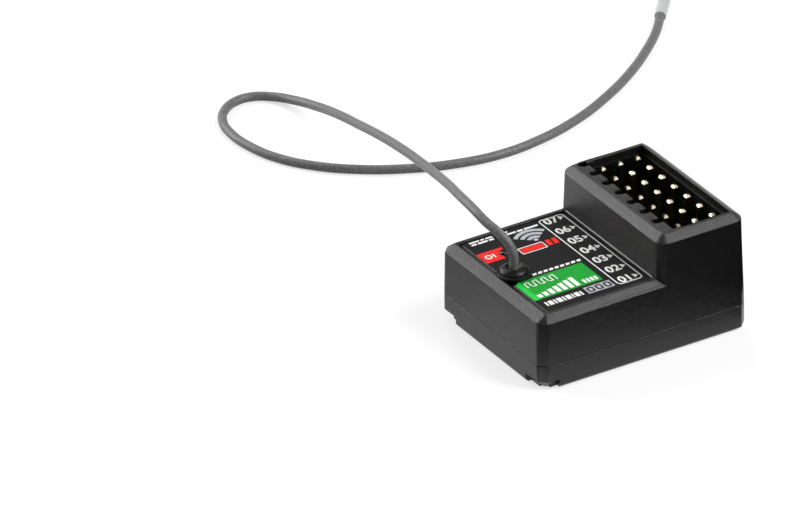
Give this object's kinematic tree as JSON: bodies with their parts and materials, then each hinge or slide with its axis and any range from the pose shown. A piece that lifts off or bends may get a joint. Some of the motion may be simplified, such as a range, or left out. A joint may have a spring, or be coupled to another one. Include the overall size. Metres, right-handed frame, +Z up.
{
  "type": "rc receiver",
  "caption": "Radio control receiver in a stepped plastic case, with keyed three-pin servo ports in an open pocket and a coaxial antenna that leaves through a rubber grommet.",
  "frame": {"origin": "bottom centre of the case, on the surface it rests on; the antenna is not counted", "axes": "+Z up, +X along the case from the antenna end to the servo ports, +Y across the case from port 1 to the last port"},
  "size_m": [0.0848, 0.0971, 0.0175],
  "materials": {
    "case_upper": "fine spark-eroded grain",
    "case_lower": "fine spark-eroded grain",
    "label": "printed, matt laminate",
    "grommet": "satin",
    "board": "solder mask",
    "shield": "tin plated",
    "chip": "matt",
    "crystal_can": "satin",
    "regulator": "matt",
    "tantalum": "satin",
    "ceramic_chip": "satin",
    "lamp": "translucent",
    "collar": "plain",
    "cable_jacket": "satin",
    "sleeve": "clear shrink tube",
    "element": "bare tinned wire",
    "port_base": "satin",
    "pin": "flash gold plated"
  },
  "bodies": {
    "root": {"upper_case": "case_upper", "lower_case": "case_lower", "label": "label", "grommet": "grommet", "circuit_board": "board", "radio_shield": "shield", "radio_chip": "chip", "microcontroller": "chip", "crystal": "crystal_can", "voltage_regulator": "regulator", "filter_capacitor": "tantalum", "chip_capacitors": "ceramic_chip", "status_lamp": "lamp", "antenna_collar": "collar", "antenna_feed": "cable_jacket", "antenna_cable": "cable_jacket", "antenna_sleeve": "sleeve", "antenna_element": "element", "port_base_1": "port_base", "port_base_2": "port_base", "port_base_3": "port_base", "port_base_4": "port_base", "port_base_5": "port_base", "port_base_6": "port_base", "port_base_7": "port_base", "signal_pin_1": "pin", "signal_pin_2": "pin", "signal_pin_3": "pin", "signal_pin_4": "pin", "signal_pin_5": "pin", "signal_pin_6": "pin", "signal_pin_7": "pin", "power_pin_1": "pin", "power_pin_2": "pin", "power_pin_3": "pin", "power_pin_4": "pin", "power_pin_5": "pin", "power_pin_6": "pin", "power_pin_7": "pin", "ground_pin_1": "pin", "ground_pin_2": "pin", "ground_pin_3": "pin", "ground_pin_4": "pin", "ground_pin_5": "pin", "ground_pin_6": "pin", "ground_pin_7": "pin"}
  },
  "joints": []
}
